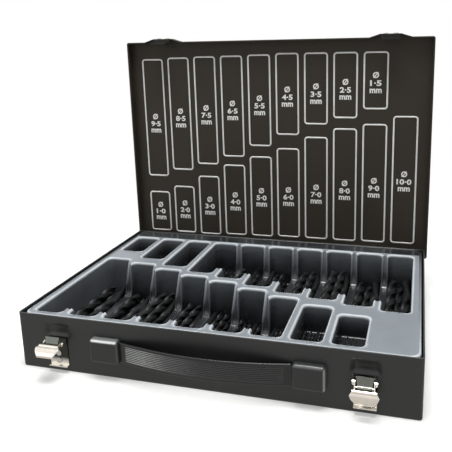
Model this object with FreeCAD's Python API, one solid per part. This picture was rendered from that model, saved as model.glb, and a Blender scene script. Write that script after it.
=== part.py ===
import FreeCAD, Part
import math
import os

# Case: an open sheet steel box whose front face looks towards -Y, with its underside at z = 0
case_width = 350.0
case_depth = 236.8
case_height = 52.0
sheet = 0.8
case_corner_radius = 3.0
case_foot_radius = 1.2
hem_thickness = 0.6
hem_height = 5.0
overrun = 1.0

# Lid: a shallow pan of the same sheet, which reaches over the case walls when it is shut
lid_side_gap = 3.0
lid_front_gap = 4.9
lid_back_gap = 4.3
lid_rest_gap = 0.6
lid_flange = 10.2
lid_corner_radius = 2.4
lid_edge_radius = 1.0
lid_hem_thickness = 0.7
lid_hem_height = 2.0
bump_reach = 3.6
bump_foot_half = 22.5
bump_top_half = 11.0

# Hinges on the back wall
hinge_spacing = 220.0
hinge_width = 36.0
hinge_leaf = 0.9
hinge_leaf_height = 17.0
hinge_barrel_radius = 1.9
hinge_pin_radius = 1.0
hinge_axis_out = 2.5
hinge_rim_rise = 1.8
hinge_knuckle_gap = 0.3
hinge_pin_head_radius = 1.6
hinge_pin_head = 0.6
hinge_rivet_spread = 22.0
lid_open_angle = -90.0

# Rivets and screws
rivet_radius = 1.4
rivet_head_radius = 2.6
rivet_head = 0.8
running_gap = 0.05

# Tray: a plastic insert with a row of compartments in front and one behind
tray_gap = 0.2
tray_recess = 0.8
tray_deck = 1.8
tray_wall = 1.5
tray_floor = 1.6
tray_skirt_inset = 3.2
tray_corner_radius = 2.4
tray_side_land = 10.2
ridge = 7.6
compartment_radius = 2.5
compartment_mouth = 0.9
front_row_front = 7.0
back_row_back = 22.5
saddle_height = 17.0
notch_back_land = 3.5
notch_back_slope = 5.0
notch_front_slope = 8.0
notch_corner = 6.0
front_fin_length = 9.0
back_fin_length = 14.0

# Drills: name, diameter, length, compartment length, count and rise of the floor, from left to right
front_drills = [
    ("9_5", 9.5, 125.0, 132.5, 5, 0.0),
    ("8_5", 8.5, 117.0, 124.5, 5, 0.0),
    ("7_5", 7.5, 109.0, 114.5, 10, 0.0),
    ("6_5", 6.5, 101.0, 104.5, 10, 0.0),
    ("5_5", 5.5, 93.0, 96.5, 10, 2.0),
    ("4_5", 4.5, 80.0, 85.0, 10, 7.0),
    ("3_5", 3.5, 70.0, 74.0, 10, 12.0),
    ("2_5", 2.5, 57.0, 62.5, 10, 22.5),
    ("1_5", 1.5, 40.0, 50.5, 10, 28.0),
]
back_drills = [
    ("1_0", 1.0, 34.0, 46.0, 10, 30.0),
    ("2_0", 2.0, 49.0, 63.4, 10, 26.0),
    ("3_0", 3.0, 61.0, 78.5, 10, 20.0),
    ("4_0", 4.0, 75.0, 89.4, 10, 12.0),
    ("5_0", 5.0, 86.0, 97.6, 10, 9.0),
    ("6_0", 6.0, 93.0, 110.1, 10, 4.0),
    ("7_0", 7.0, 109.0, 119.8, 10, 2.0),
    ("8_0", 8.0, 117.0, 125.8, 10, 2.0),
    ("9_0", 9.0, 125.0, 132.8, 5, 0.0),
    ("10_0", 10.0, 133.0, 138.4, 5, 0.0),
]
front_notched_dividers = range(0, 6)
back_notched_dividers = range(3, 9)
drill_gap = 0.08
pile_side_gap = 0.25
drill_end_gap = 1.5
drill_point_share = 0.3
end_shift_shares = [0.5, 0.1, 0.8, 0.3, 1.0, 0.6, 0.0, 0.9, 0.4, 0.7]

# Latches on the front wall, measured outwards from the wall, with the lever lying flat
latch_left_x = -136.0
latch_right_x = 132.0
latch_plate = 0.8
latch_half_width = 9.0
latch_bottom_drop = 24.4
latch_top_rise = 3.4
latch_lip_reach = 3.6
latch_lip = 1.2
latch_ear_root = 4.0
latch_ear_round = 2.2
pivot_out = 6.5
pivot_rim_drop = 13.2
pivot_radius = 0.9
pivot_head_radius = 1.7
pivot_head = 0.7
cheek = 0.8
cheek_gap = 0.3
cheek_round = 2.0
hook_pin_arm = 4.2
hook_pin_inward_angle = 20.0
hook_pin_radius = 0.7
blade_out = 7.7
blade_top_drop = 6.7
blade_straight_drop = 9.2
blade_wing_drop = 9.9
blade_lower_drop = 13.2
blade_bottom_drop = 15.6
blade_curl_radius = 7.5
blade_top_half = 9.4
blade_wing_half = 11.4
blade_lower_half = 10.0
blade_bottom_half = 7.8
roll_radius = 1.4
hook_plate = 0.8
hook_reach = 9.0
hook_top_half = 6.7
hook_foot_half = 5.6
hook_nose_back = 1.56
hook_nose_thickness = 1.0
hook_eye_radius = 1.3
hook_follow_share = 0.8
left_lever_angle = 80.0
right_lever_angle = 20.0
latch_rivet_drops = [19.5, 12.0]

# Catches in the bumps of the lid, measured outwards from the case's front wall
catch_left_x = -132.0
catch_right_x = 132.0
catch_plate = 0.8
catch_half_width = 10.0
catch_hook_gap = 0.5
catch_nose_gap = 0.65
catch_lip_reach = 2.2
catch_jog_drop = 2.0
catch_upper_leg = 7.0
catch_rivet_half_spread = 5.5
catch_rivet_rise = 4.0

# Pressed recess in the front wall above each latch
recess_top_drop = 5.0
recess_height = 16.0
recess_mouth_half = 13.0
recess_floor_half = 9.0
recess_depth = 2.6
recess_slope = 4.0
recess_radius = 4.0

# Carrying handle: a plastic strap whose ends slide in two caps
cap_inner = 75.0
cap_outer = 102.0
cap_bottom = 16.0
cap_top = 37.5
cap_skin = 1.0
cap_side = 1.0
cap_mouth_wall = 2.0
cap_edge_radius = 1.0
cap_pocket_end = 94.0
strap_thickness = 2.0
strap_sagitta = 8.8
strap_play = 2.1
strap_gap = 0.3
strap_neck_step = 2.0
strap_tab_end = 92.0
screw_radius = 1.2
screw_depth = 4.0
screw_head_radius = 2.6
screw_x = 98.0
screw_rise = 5.5

# Places worked out from the sizes above
front_wall = -case_depth / 2
back_wall = case_depth / 2
lid_top = case_height + lid_rest_gap + sheet
lid_rim = lid_top - lid_flange
hinge_height = lid_rim - hinge_rim_rise
hinge_axis_y = back_wall + hinge_axis_out
lid_half_width = case_width / 2 + lid_side_gap
lid_front = front_wall - lid_front_gap
lid_back = back_wall + lid_back_gap
tray_top = case_height - tray_recess
tray_half_width = case_width / 2 - sheet - hem_thickness - tray_gap
tray_half_depth = case_depth / 2 - sheet - hem_thickness - tray_gap
column_count = len(back_drills)
pitch = (2 * (tray_half_width - tray_side_land) + ridge) / column_count
compartment_width = pitch - ridge
first_column = -tray_half_width + tray_side_land
compartment_floor = sheet + tray_floor
front_row_y = -tray_half_depth + front_row_front
back_row_y = tray_half_depth - back_row_back
pivot_height = lid_rim - pivot_rim_drop
latch_bottom = pivot_height - latch_bottom_drop
latch_top = pivot_height + latch_top_rise
hook_pin_turn = math.radians(hook_pin_inward_angle)
hook_pin_out = pivot_out - hook_pin_arm * math.sin(hook_pin_turn)
hook_pin_height = pivot_height - hook_pin_arm * math.cos(hook_pin_turn)
catch_leg_out = hook_pin_out - hook_nose_back - catch_hook_gap - catch_plate
catch_lip_bottom = hook_pin_height + hook_reach - hook_nose_thickness - catch_nose_gap - catch_plate
recess_top = case_height - recess_top_drop
recess_bottom = recess_top - recess_height
strap_start_out = cap_skin + strap_gap
cap_reach = strap_start_out + strap_thickness + strap_play + cap_skin
x_axis = FreeCAD.Vector(1, 0, 0)
outward = FreeCAD.Vector(-1, 0, 0)


def vec(x, y, z):
    return FreeCAD.Vector(x, y, z)


# Blocks between two corners
def block(x0, x1, y0, y1, z0, z1):
    return Part.makeBox(x1 - x0, y1 - y0, z1 - z0, vec(x0, y0, z0))


# A block on the front wall, where out0 and out1 are distances in front of it
def front_block(x0, x1, out0, out1, z0, z1):
    return block(x0, x1, front_wall - out1, front_wall - out0, z0, z1)


# A block on the back wall, where out0 and out1 are distances behind it
def back_block(x0, x1, out0, out1, z0, z1):
    return block(x0, x1, back_wall + out0, back_wall + out1, z0, z1)


# A rectangle with round corners in the plane z, as a wire
def rounded_outline(x0, x1, y0, y1, z, radius):
    corners = [(x1, y1, 0), (x0, y1, 1), (x0, y0, 2), (x1, y0, 3)]
    edges = []
    ends = []
    for x, y, quarter in corners:
        cx = x - radius if x == x1 else x + radius
        cy = y - radius if y == y1 else y + radius
        angles = [math.radians(90 * quarter + step) for step in (0, 45, 90)]
        points = [vec(cx + radius * math.cos(a), cy + radius * math.sin(a), z) for a in angles]
        ends.append(points)
    for index, points in enumerate(ends):
        edges.append(Part.Arc(points[0], points[1], points[2]).toShape())
        following = ends[(index + 1) % len(ends)]
        edges.append(Part.LineSegment(points[2], following[0]).toShape())
    return Part.Wire(edges)


# A block with round upright corners
def rounded_block(x0, x1, y0, y1, z0, z1, radius):
    face = Part.Face(rounded_outline(x0, x1, y0, y1, z0, radius))
    return face.extrude(vec(0, 0, z1 - z0))


# A flared block between two rounded rectangles at different heights
def flared_block(lower, upper, z0, z1, radius0, radius1):
    wires = [rounded_outline(*lower, z0, radius0), rounded_outline(*upper, z1, radius1)]
    return Part.makeLoft(wires, True, True)


# A solid between a closed outline of points and its copy moved along a vector
def prism(points, along):
    closed = points + [points[0]]
    return Part.Face(Part.makePolygon(closed)).extrude(along)


def rod_x(x0, x1, y, z, radius):
    return Part.makeCylinder(radius, x1 - x0, vec(x0, y, z), x_axis)


def rod_y(x, y0, y1, z, radius):
    return Part.makeCylinder(radius, y1 - y0, vec(x, y0, z), vec(0, 1, 0))


def front_rod(x, out0, out1, z, radius):
    return rod_y(x, front_wall - out1, front_wall - out0, z, radius)


def back_rod(x, out0, out1, z, radius):
    return rod_y(x, back_wall + out0, back_wall + out1, z, radius)


def fuse(shapes):
    result = shapes[0]
    if len(shapes) > 1:
        result = result.multiFuse(shapes[1:])
    return result.removeSplitter()


def cut(shape, cutters):
    return shape.cut(cutters) if cutters else shape


# The lid's pieces are drawn shut and then swung open about the hinge axis
def swing_open(shape):
    shape.rotate(vec(0, hinge_axis_y, hinge_height), x_axis, lid_open_angle)
    return shape


def save(name, shape):
    shape.exportStep(os.path.join("parts", name + ".step"))


# Where the fasteners sit
hinge_centres = [-hinge_spacing / 2, hinge_spacing / 2]
latches = [("left", latch_left_x, left_lever_angle), ("right", latch_right_x, right_lever_angle)]
catches = [("left", catch_left_x), ("right", catch_right_x)]
hinge_rivet_xs = [c + s * hinge_rivet_spread / 2 for c in hinge_centres for s in (-1, 1)]
hinge_base_rivet_z = hinge_height - hinge_leaf_height / 2 - hinge_barrel_radius
hinge_lid_rivet_z = (lid_rim + lid_hem_height + lid_top - sheet) / 2
latch_rivet_zs = [pivot_height - drop for drop in latch_rivet_drops]
catch_rivet_z = lid_rim + catch_rivet_rise
screw_zs = [(cap_bottom + cap_top) / 2 + s * screw_rise for s in (-1, 1)]


# Steel box with a hemmed rim, a pressed recess above each latch and holes for its fasteners
def make_base_shell():
    half_x = case_width / 2
    half_y = case_depth / 2
    outer = rounded_block(-half_x, half_x, -half_y, half_y, 0, case_height, case_corner_radius)
    foot = [e for e in outer.Edges if e.BoundBox.ZMax < case_foot_radius]
    outer = outer.makeFillet(case_foot_radius, foot)
    in_x = half_x - sheet
    in_y = half_y - sheet
    corner = case_corner_radius - sheet
    inner = rounded_block(-in_x, in_x, -in_y, in_y, sheet, case_height + overrun, corner)
    hem_x = in_x - hem_thickness
    hem_y = in_y - hem_thickness
    hem_low = case_height - hem_height
    hem = rounded_block(-in_x, in_x, -in_y, in_y, hem_low, case_height, corner)
    clear = rounded_block(-hem_x, hem_x, -hem_y, hem_y, hem_low - overrun, case_height + overrun,
                          corner - hem_thickness)
    shell = fuse([outer.cut(inner), hem.cut(clear)])
    pads = [recess_form(x, sheet) for side, x, angle in latches]
    voids = [recess_form(x, 0) for side, x, angle in latches]
    shell = cut(fuse([shell] + pads), voids + base_holes())
    return shell.removeSplitter()


# The recess as a solid that flares towards the mouth, or with the sheet round it
def recess_form(x, skin):
    mouth = [x - recess_mouth_half - skin, x + recess_mouth_half + skin]
    floor = [x - recess_floor_half - skin, x + recess_floor_half + skin]
    low = recess_bottom - skin
    high = recess_top + skin
    start = 0 if skin else -overrun
    flare = recess_slope * (recess_depth - start) / recess_depth
    side = (recess_mouth_half - recess_floor_half) * (recess_depth - start) / recess_depth
    lower = (floor[0] - side, floor[1] + side, low, high)
    upper = (floor[0], floor[1], low + flare, high - flare)
    form = flared_block(lower, upper, start, recess_depth + skin, recess_radius, recess_radius)
    form.rotate(vec(0, 0, 0), x_axis, 90)
    form.rotate(vec(0, 0, 0), vec(0, 0, 1), 180)
    form.translate(vec(x + x, front_wall, 0))
    return form


# Holes through the case walls for rivets and screws
def base_holes():
    radius = rivet_radius + running_gap
    holes = [back_rod(x, -sheet - overrun, overrun, hinge_base_rivet_z, radius) for x in hinge_rivet_xs]
    for side, x, angle in latches:
        holes += [front_rod(x, -sheet - overrun, overrun, z, radius) for z in latch_rivet_zs]
    for x in (-screw_x, screw_x):
        holes += [front_rod(x, -sheet - overrun, overrun, z, screw_radius + running_gap) for z in screw_zs]
    return holes


# Left edge, right edge, front and back of each compartment, with the size it holds
def compartments():
    places = []
    for index, drill in enumerate(front_drills):
        left = first_column + pitch * index
        places.append((drill, left, front_row_y, front_row_y + drill[3]))
    for index, drill in enumerate(back_drills):
        left = first_column + pitch * index
        places.append((drill, left, back_row_y - drill[3], back_row_y))
    return places


# A compartment's hollow, with a small bevel round its mouth
def compartment_form(left, front, back, rise):
    right = left + compartment_width
    floor = compartment_floor + rise
    body = rounded_block(left, right, front, back, floor, tray_top + overrun, compartment_radius)
    m = compartment_mouth
    lower = (left, right, front, back)
    upper = (left - m, right + m, front - m, back + m)
    mouth = flared_block(lower, upper, tray_top - m, tray_top, compartment_radius, compartment_radius + m)
    return [body, mouth]


# Pairs of neighbours in one row: their ridge in X and the stretch in Y that both share
def dividers():
    pairs = []
    rows = [(front_drills, front_notched_dividers, 1), (back_drills, back_notched_dividers, -1)]
    for drills, notched, side in rows:
        for index in range(len(drills) - 1):
            left = first_column + pitch * index + compartment_width
            right = left + pitch - compartment_width
            shorter = min(drills[index][3], drills[index + 1][3])
            if side > 0:
                front = front_row_y
                back = front_row_y + shorter
                fin = front_fin_length
            else:
                front = back_row_y - shorter
                back = back_row_y
                fin = back_fin_length
            pairs.append((left, right, front, back, index in notched, fin))
    return pairs


# The finger notch in a ridge: a steep back, a round low saddle and a fin left at the front
def notch_form(left, right, front, back, fin):
    top = tray_top + overrun
    y1 = back - notch_back_land
    y0 = front + fin
    points = [
        vec(left, y1, top),
        vec(left, y1, tray_top - compartment_mouth),
        vec(left, y1 - notch_back_slope, saddle_height + notch_corner),
        vec(left, y1 - notch_back_slope - notch_corner, saddle_height),
        vec(left, y0 + notch_front_slope + notch_corner, saddle_height),
        vec(left, y0 + notch_front_slope, saddle_height + notch_corner),
        vec(left, y0, tray_top - compartment_mouth),
        vec(left, y0, top),
    ]
    margin = compartment_mouth + overrun
    form = prism(points, vec(right - left + margin + margin, 0, 0))
    form.translate(vec(-margin, 0, 0))
    return form


# The moulding is hollow underneath wherever no compartment or wall needs it
def core_forms(skirt_y):
    cores = []
    wall = tray_wall
    low = sheet - overrun
    for left, right, front, back, notched, fin in dividers():
        top = saddle_height - wall if notched else tray_top - tray_deck
        cores.append(block(left + wall, right - wall, front + wall, back - wall, low, top))
    deck = tray_top - tray_deck
    for index, (front_drill, back_drill) in enumerate(zip(front_drills, back_drills)):
        left = first_column + pitch * index
        front = front_row_y + front_drill[3]
        back = back_row_y - back_drill[3]
        if back - wall - wall > front + wall:
            cores.append(block(left, left + compartment_width, front + wall, back - wall, low, deck))
    for drill, left, front, back in compartments():
        if drill[5] > wall + tray_floor:
            top = compartment_floor + drill[5] - tray_floor
            cores.append(block(left, left + compartment_width, front, back, low, top))
    left = first_column + pitch * len(front_drills)
    front = front_row_y
    back = back_row_y - back_drills[-1][3]
    cores.append(block(left, left + compartment_width, front, back - wall, low, deck))
    cores.append(block(first_column, -first_column, back_row_y + wall, skirt_y - wall, low, deck))
    return cores


# Plastic tray: a deck that fills the case's mouth over a hollow body of compartments
def make_tray():
    deck = rounded_block(-tray_half_width, tray_half_width, -tray_half_depth, tray_half_depth,
                         tray_top - tray_deck, tray_top, tray_corner_radius)
    skirt_x = tray_half_width - tray_skirt_inset
    skirt_y = tray_half_depth - tray_skirt_inset
    body = rounded_block(-skirt_x, skirt_x, -skirt_y, skirt_y, sheet, tray_top - tray_deck,
                         tray_corner_radius)
    cutters = []
    for drill, left, front, back in compartments():
        cutters += compartment_form(left, front, back, drill[5])
    for left, right, front, back, notched, fin in dividers():
        if notched:
            cutters.append(notch_form(left, right, front, back, fin))
    cutters += core_forms(skirt_y)
    return cut(fuse([deck, body]), cutters)


# One drill lying along Y: a round body with a cone at its cutting end
def drill_solid(diameter, length):
    radius = diameter / 2
    point = diameter * drill_point_share
    outline = [vec(0, 0, 0), vec(radius, 0, 0), vec(radius, length - point, 0), vec(0, length, 0)]
    face = Part.Face(Part.makePolygon(outline + [outline[0]]))
    return face.revolve(vec(0, 0, 0), vec(0, 1, 0), 360)


# A compartment's drills, piled in layers that spread to the walls and nest in the layers below
def make_drills(drill, left, front, back):
    name, diameter, length, room, count, rise = drill
    step = diameter + drill_gap
    per_layer = int((compartment_width - drill_gap) // step)
    spread = (compartment_width - pile_side_gap - pile_side_gap - diameter) / (per_layer - 1)
    nest = math.sqrt(max(step ** 2 - (spread / 2) ** 2, 0))
    floor = compartment_floor + rise + drill_gap
    heights = [0, nest]
    slack = room - length - drill_end_gap - drill_end_gap
    solids = []
    layer = 0
    while len(solids) < count:
        inset = spread / 2 if layer % 2 else 0
        fitting = per_layer if layer % 2 == 0 else per_layer - 1
        in_layer = min(fitting, count - len(solids))
        z = floor + diameter / 2 + heights[layer]
        start = left + pile_side_gap + diameter / 2 + inset
        for place in range(in_layer):
            share = end_shift_shares[len(solids) % len(end_shift_shares)]
            solid = drill_solid(diameter, length)
            y = front + drill_end_gap + slack * share
            if len(solids) % 3 == 1:
                solid.rotate(vec(0, length / 2, 0), vec(0, 0, 1), 180)
            solid.translate(vec(start + spread * place, y, z))
            solids.append(solid)
        heights.append(max(heights[-1] + nest, heights[-2] + step))
        layer += 1
    return Part.makeCompound(solids)


# The pan's wall as a closed form, grown outwards in the bumps
def lid_form(inset, low, high, radius):
    half = lid_half_width - inset
    body = rounded_block(-half, half, lid_front + inset, lid_back - inset, low, high, radius)
    forms = [body]
    for side, x in catches:
        foot = bump_foot_half - inset
        top = bump_top_half - inset / 2
        face = lid_front + inset
        points = [
            vec(x - foot, face + sheet, low),
            vec(x - foot, face, low),
            vec(x - top, face - bump_reach, low),
            vec(x + top, face - bump_reach, low),
            vec(x + foot, face, low),
            vec(x + foot, face + sheet, low),
        ]
        forms.append(prism(points, vec(0, 0, high - low)))
    return fuse(forms)


# Steel lid: a pan with a folded rim, left plain where the hinges and catches sit
def make_lid_shell():
    outer = lid_form(0, lid_rim, lid_top, lid_corner_radius)
    crown = [e for e in outer.Edges if e.BoundBox.ZMin > lid_top - sheet / 2]
    outer = outer.makeFillet(lid_edge_radius, crown)
    inner = lid_form(sheet, lid_rim - overrun, lid_top - sheet, lid_corner_radius - sheet)
    thick = sheet + lid_hem_thickness
    half = lid_half_width - sheet
    hem = rounded_block(-half, half, lid_front + sheet, lid_back - sheet, lid_rim,
                        lid_rim + lid_hem_height, lid_corner_radius - sheet)
    hole = lid_half_width - thick
    clear = rounded_block(-hole, hole, lid_front + thick, lid_back - thick, lid_rim - overrun,
                          lid_rim + lid_hem_height + overrun, lid_corner_radius - thick)
    gaps = []
    for side, x in catches:
        reach = bump_foot_half
        gaps.append(block(x - reach, x + reach, lid_front + sheet - overrun, lid_front + thick + overrun,
                          lid_rim - overrun, lid_rim + lid_hem_height + overrun))
    for x in hinge_centres:
        reach = hinge_width / 2 + sheet
        gaps.append(block(x - reach, x + reach, lid_back - thick - overrun, lid_back - sheet,
                          lid_rim - overrun, lid_rim + lid_hem_height + overrun))
    shell = fuse([outer.cut(inner), hem.cut([clear] + gaps)])
    radius = rivet_radius + running_gap
    holes = [back_rod(x, 0, lid_back_gap + overrun, hinge_lid_rivet_z, radius) for x in hinge_rivet_xs]
    for side, x in catches:
        for s in (-1, 1):
            holes.append(front_rod(x + s * catch_rivet_half_spread, lid_front_gap,
                                   lid_front_gap + bump_reach + overrun, catch_rivet_z, radius))
    return swing_open(cut(shell, holes))


# Knuckles of one hinge as start and end in X, from left to right
def knuckles(centre):
    width = hinge_width / 3
    left = centre - hinge_width / 2
    half_gap = hinge_knuckle_gap / 2
    spans = []
    for index in range(3):
        start = left + width * index + (half_gap if index else 0)
        end = left + width * (index + 1) - (half_gap if index < 2 else 0)
        spans.append((start, end))
    return spans


def barrel(start, end):
    return rod_x(start, end, hinge_axis_y, hinge_height, hinge_barrel_radius)


def pin_bore(centre):
    reach = hinge_width / 2 + overrun
    return rod_x(centre - reach, centre + reach, hinge_axis_y, hinge_height, hinge_pin_radius + running_gap)


# Lower hinge leaf, riveted to the back wall, with the two outer knuckles
def make_base_leaf(centre):
    spans = knuckles(centre)
    low = hinge_height - hinge_leaf_height - hinge_barrel_radius
    parts = [back_block(spans[0][0], spans[2][1], 0, hinge_leaf, low, hinge_height)]
    parts += [barrel(start, end) for start, end in (spans[0], spans[2])]
    start, end = spans[1]
    gap = hinge_knuckle_gap
    room = block(start - gap, end + gap, back_wall - overrun, hinge_axis_y + hinge_barrel_radius + overrun,
                 hinge_height - hinge_barrel_radius - gap, hinge_height + overrun)
    radius = rivet_radius + running_gap
    holes = [back_rod(centre + s * hinge_rivet_spread / 2, -overrun, hinge_leaf + overrun,
                      hinge_base_rivet_z, radius) for s in (-1, 1)]
    return cut(fuse(parts), [room, pin_bore(centre)] + holes)


# Upper hinge leaf, riveted inside the lid's back flange, with the middle knuckle
def make_lid_leaf(centre):
    spans = knuckles(centre)
    out1 = lid_back_gap - sheet
    out0 = out1 - hinge_leaf
    low = hinge_height + hinge_barrel_radius + hinge_knuckle_gap
    high = lid_top - sheet - hinge_knuckle_gap
    plate = back_block(spans[0][0], spans[2][1], out0, out1, low, high)
    neck = back_block(spans[1][0], spans[1][1], out0, out1, hinge_height, high)
    leaf = fuse([plate, neck, barrel(*spans[1])])
    radius = rivet_radius + running_gap
    holes = [back_rod(centre + s * hinge_rivet_spread / 2, 0, lid_back_gap + overrun,
                      hinge_lid_rivet_z, radius) for s in (-1, 1)]
    return swing_open(cut(leaf, [pin_bore(centre)] + holes))


# Hinge pin with a peened head past each end of the barrel
def make_hinge_pin(centre):
    half = hinge_width / 2 + hinge_knuckle_gap
    rod = rod_x(centre - half, centre + half, hinge_axis_y, hinge_height, hinge_pin_radius)
    heads = []
    for start in (centre - half - hinge_pin_head, centre + half):
        heads.append(rod_x(start, start + hinge_pin_head, hinge_axis_y, hinge_height,
                           hinge_pin_head_radius))
    return fuse([rod] + heads)


# A rivet along Y, from the outer face of its stack at y0 to the inner face at y1
def rivet(x, y0, y1, z):
    shank = rod_y(x, y0, y1, z, rivet_radius)
    outer = rod_y(x, y0 - rivet_head, y0, z, rivet_head_radius)
    inner = rod_y(x, y1, y1 + rivet_head, z, rivet_head_radius)
    return fuse([shank, outer, inner])


def make_hinge_base_rivets():
    return Part.makeCompound([rivet(x, back_wall - sheet, back_wall + hinge_leaf, hinge_base_rivet_z)
                              for x in hinge_rivet_xs])


def make_hinge_lid_rivets():
    inner = lid_back - sheet - hinge_leaf
    return swing_open(Part.makeCompound([rivet(x, inner, lid_back, hinge_lid_rivet_z)
                                         for x in hinge_rivet_xs]))


# Latch plate: a flat back with round lower corners, a lip below and an ear on each side
def make_latch_plate(x):
    w = latch_half_width
    plate = front_block(x - w, x + w, 0, latch_plate, latch_bottom, latch_top)
    lip = front_block(x - w, x + w, 0, latch_lip_reach, latch_bottom, latch_bottom + latch_lip)
    body = fuse([plate, lip])
    lower = [e for e in body.Edges if e.BoundBox.ZMax < latch_bottom + latch_lip / 2
             and e.BoundBox.YLength > latch_plate / 2 and e.BoundBox.XLength < latch_plate / 2]
    body = body.makeFillet(latch_lip / 2, lower)
    ears = []
    for s in (-1, 1):
        inner = x + s * (w - latch_plate)
        outer = x + s * w
        ears.append(ear_form(min(inner, outer), max(inner, outer)))
    radius = rivet_radius + running_gap
    holes = [front_rod(x, -overrun, latch_plate + overrun, z, radius) for z in latch_rivet_zs]
    y = front_wall - pivot_out
    holes.append(rod_x(x - w - overrun, x + w + overrun, y, pivot_height, pivot_radius + running_gap))
    return cut(fuse([body] + ears), holes)


# An ear stands off the plate and is round about the pivot
def ear_form(x0, x1):
    reach = pivot_out
    low = pivot_height - latch_ear_round
    high = pivot_height + latch_ear_round
    arm = front_block(x0, x1, 0, reach, low, high)
    root = prism([
        vec(x0, front_wall, low - latch_ear_root + latch_ear_round),
        vec(x0, front_wall - reach / 2, low),
        vec(x0, front_wall, low),
    ], vec(x1 - x0, 0, 0))
    end = rod_x(x0, x1, front_wall - reach, pivot_height, latch_ear_round)
    return fuse([arm, root, end])


# Two studs that carry a lever's cheeks in the ears
def make_latch_studs():
    studs = []
    y = front_wall - pivot_out
    for side, x, angle in latches:
        for s in (-1, 1):
            inner = x + s * (latch_half_width - latch_plate - cheek_gap - cheek)
            outer = x + s * latch_half_width
            tip = outer + s * pivot_head
            shank = rod_x(min(inner, outer), max(inner, outer), y, pivot_height, pivot_radius)
            head = rod_x(min(outer, tip), max(outer, tip), y, pivot_height, pivot_head_radius)
            studs.append(fuse([shank, head]))
    return Part.makeCompound(studs)


def make_latch_rivets():
    rivets = []
    for side, x, angle in latches:
        for z in latch_rivet_zs:
            rivets.append(rivet(x, front_wall - latch_plate, front_wall + sheet, z))
    return Part.makeCompound(rivets)


# Turning a flat piece outwards about the pivot
def lift(shape, angle):
    shape.rotate(vec(0, front_wall - pivot_out, pivot_height), outward, angle)
    return shape


# Side form of the blade: flat from its top edge, then curled in towards the wall
def blade_band(x):
    x0, x1 = x - blade_wing_half, x + blade_wing_half
    fold = pivot_height - blade_straight_drop
    out = blade_out + latch_plate - blade_curl_radius
    flat = front_block(x0, x1, blade_out, blade_out + latch_plate, fold, pivot_height - blade_top_drop)
    outer = rod_x(x0, x1, front_wall - out, fold, blade_curl_radius)
    ring = cut(outer, [rod_x(x0, x1, front_wall - out, fold, blade_curl_radius - latch_plate)])
    quarter = front_block(x0, x1, out, blade_out + latch_plate, pivot_height - blade_bottom_drop, fold)
    return fuse([flat, ring.common(quarter)])


# Lever: a winged blade with a rolled top edge, on two cheeks that turn inside the ears
def make_lever(x, angle):
    drops = [
        (blade_top_half, blade_top_drop),
        (blade_wing_half, blade_wing_drop),
        (blade_lower_half, blade_lower_drop),
        (blade_bottom_half, blade_bottom_drop),
    ]
    right = [vec(x + half, front_wall, pivot_height - drop) for half, drop in drops]
    left = [vec(x - half, front_wall, pivot_height - drop) for half, drop in reversed(drops)]
    blade = blade_band(x).common(prism(right + left, vec(0, -2 * blade_out, 0)))
    roll = rod_x(x - blade_top_half, x + blade_top_half, front_wall - blade_out - latch_plate / 2,
                 pivot_height - blade_top_drop, roll_radius)
    cheeks = []
    for s in (-1, 1):
        outer = x + s * (latch_half_width - latch_plate - cheek_gap)
        inner = outer - s * cheek
        cheeks.append(cheek_form(min(inner, outer), max(inner, outer)))
    reach = latch_half_width + overrun
    holes = [
        rod_x(x - reach, x + reach, front_wall - pivot_out, pivot_height, pivot_radius + running_gap),
        rod_x(x - reach, x + reach, front_wall - hook_pin_out, hook_pin_height,
              hook_pin_radius + running_gap),
    ]
    return lift(cut(fuse([blade, roll] + cheeks), holes), angle)


# A cheek runs from the pivot, past the hook's pin, down to the blade
def cheek_form(x0, x1):
    y = front_wall - pivot_out
    side_y = cheek_round * math.cos(hook_pin_turn)
    side_z = cheek_round * math.sin(hook_pin_turn)
    back_round = hook_pin_radius + cheek
    back_y = back_round * math.cos(hook_pin_turn)
    back_z = back_round * math.sin(hook_pin_turn)
    pin_y = front_wall - hook_pin_out
    web = prism([
        vec(x0, y - cheek_round, pivot_height),
        vec(x0, y + side_y, pivot_height - side_z),
        vec(x0, pin_y + back_y, hook_pin_height - back_z),
        vec(x0, pin_y, hook_pin_height - back_round),
        vec(x0, front_wall - blade_out, pivot_height - blade_straight_drop),
        vec(x0, front_wall - blade_out - latch_plate, pivot_height - blade_straight_drop),
        vec(x0, front_wall - blade_out - latch_plate, pivot_height - blade_top_drop),
    ], vec(x1 - x0, 0, 0))
    top = rod_x(x0, x1, y, pivot_height, cheek_round)
    eye = rod_x(x0, x1, pin_y, hook_pin_height, back_round)
    return fuse([web, top, eye])


# Pin across the two cheeks, on which the hook turns
def make_hook_pin(x, angle):
    reach = latch_half_width - latch_plate - cheek_gap
    pin = rod_x(x - reach, x + reach, front_wall - hook_pin_out, hook_pin_height, hook_pin_radius)
    return lift(pin, angle)


# Hook: a plate that widens upwards from its eye to a nose turned in towards the wall
def make_hook(x, angle):
    y = front_wall - hook_pin_out
    pin_z = hook_pin_height
    top = pin_z + hook_reach
    plate = prism([
        vec(x - hook_foot_half, y, pin_z),
        vec(x + hook_foot_half, y, pin_z),
        vec(x + hook_top_half, y, top),
        vec(x - hook_top_half, y, top),
    ], vec(0, -hook_plate, 0))
    plate.translate(vec(0, hook_plate / 2, 0))
    nose = block(x - hook_top_half, x + hook_top_half, y - hook_plate / 2, y + hook_nose_back,
                 top - hook_nose_thickness, top)
    eye = rod_x(x - hook_foot_half, x + hook_foot_half, y, pin_z, hook_eye_radius)
    bore = rod_x(x - hook_top_half, x + hook_top_half, y, pin_z, hook_pin_radius + running_gap)
    hook = lift(cut(fuse([plate, nose, eye]), [bore]), angle)
    turn = math.radians(angle - hook_pin_inward_angle)
    pin = vec(x, front_wall - pivot_out - hook_pin_arm * math.sin(turn),
              pivot_height - hook_pin_arm * math.cos(turn))
    hook.rotate(pin, outward, -hook_follow_share * angle)
    return hook


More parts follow.
